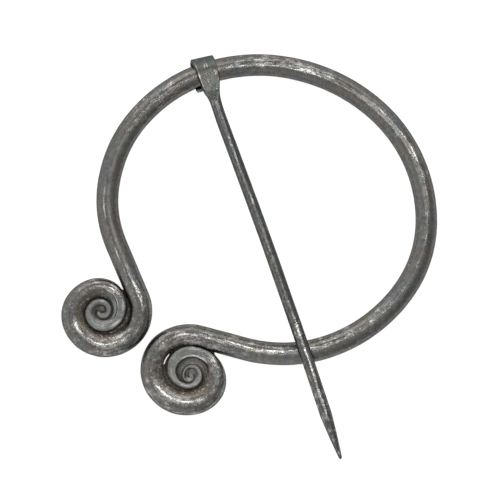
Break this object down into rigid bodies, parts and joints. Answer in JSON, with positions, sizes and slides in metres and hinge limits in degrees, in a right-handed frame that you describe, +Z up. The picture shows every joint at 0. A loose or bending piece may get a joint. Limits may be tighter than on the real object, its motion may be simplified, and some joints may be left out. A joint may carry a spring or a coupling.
{
  "type": "penannular fibula",
  "caption": "Open-ring cloak brooch of forged rod: a hoop whose drawn-out ends roll into flat scrolls, with a long loose pin that swings on the hoop to skewer gathered cloth.",
  "frame": {"origin": "on the table under the middle of the brooch as it lies face up with its pin on the hoop", "axes": "+X to the picture's right, +Y to its top, where the pin's loop sits on the hoop, and +Z up from the table through the brooch's face"},
  "size_m": [0.0753, 0.081, 0.0073],
  "materials": {
    "ring_iron": "forged, dark scale, wire-brushed and waxed",
    "pin_iron": "forged, smoother than the hoop, waxed"
  },
  "bodies": {
    "ring": {"ring": "ring_iron"},
    "pin": {"pin": "pin_iron"}
  },
  "joints": [
    {"name": "pin_swing", "type": "hinge", "parent": "ring", "child": "pin", "pos_m": [-0.0083, 0.0366, 0.0034], "axis": [-0.9681, -0.2504, 0.003], "range_deg": [0, 352]}
  ]
}
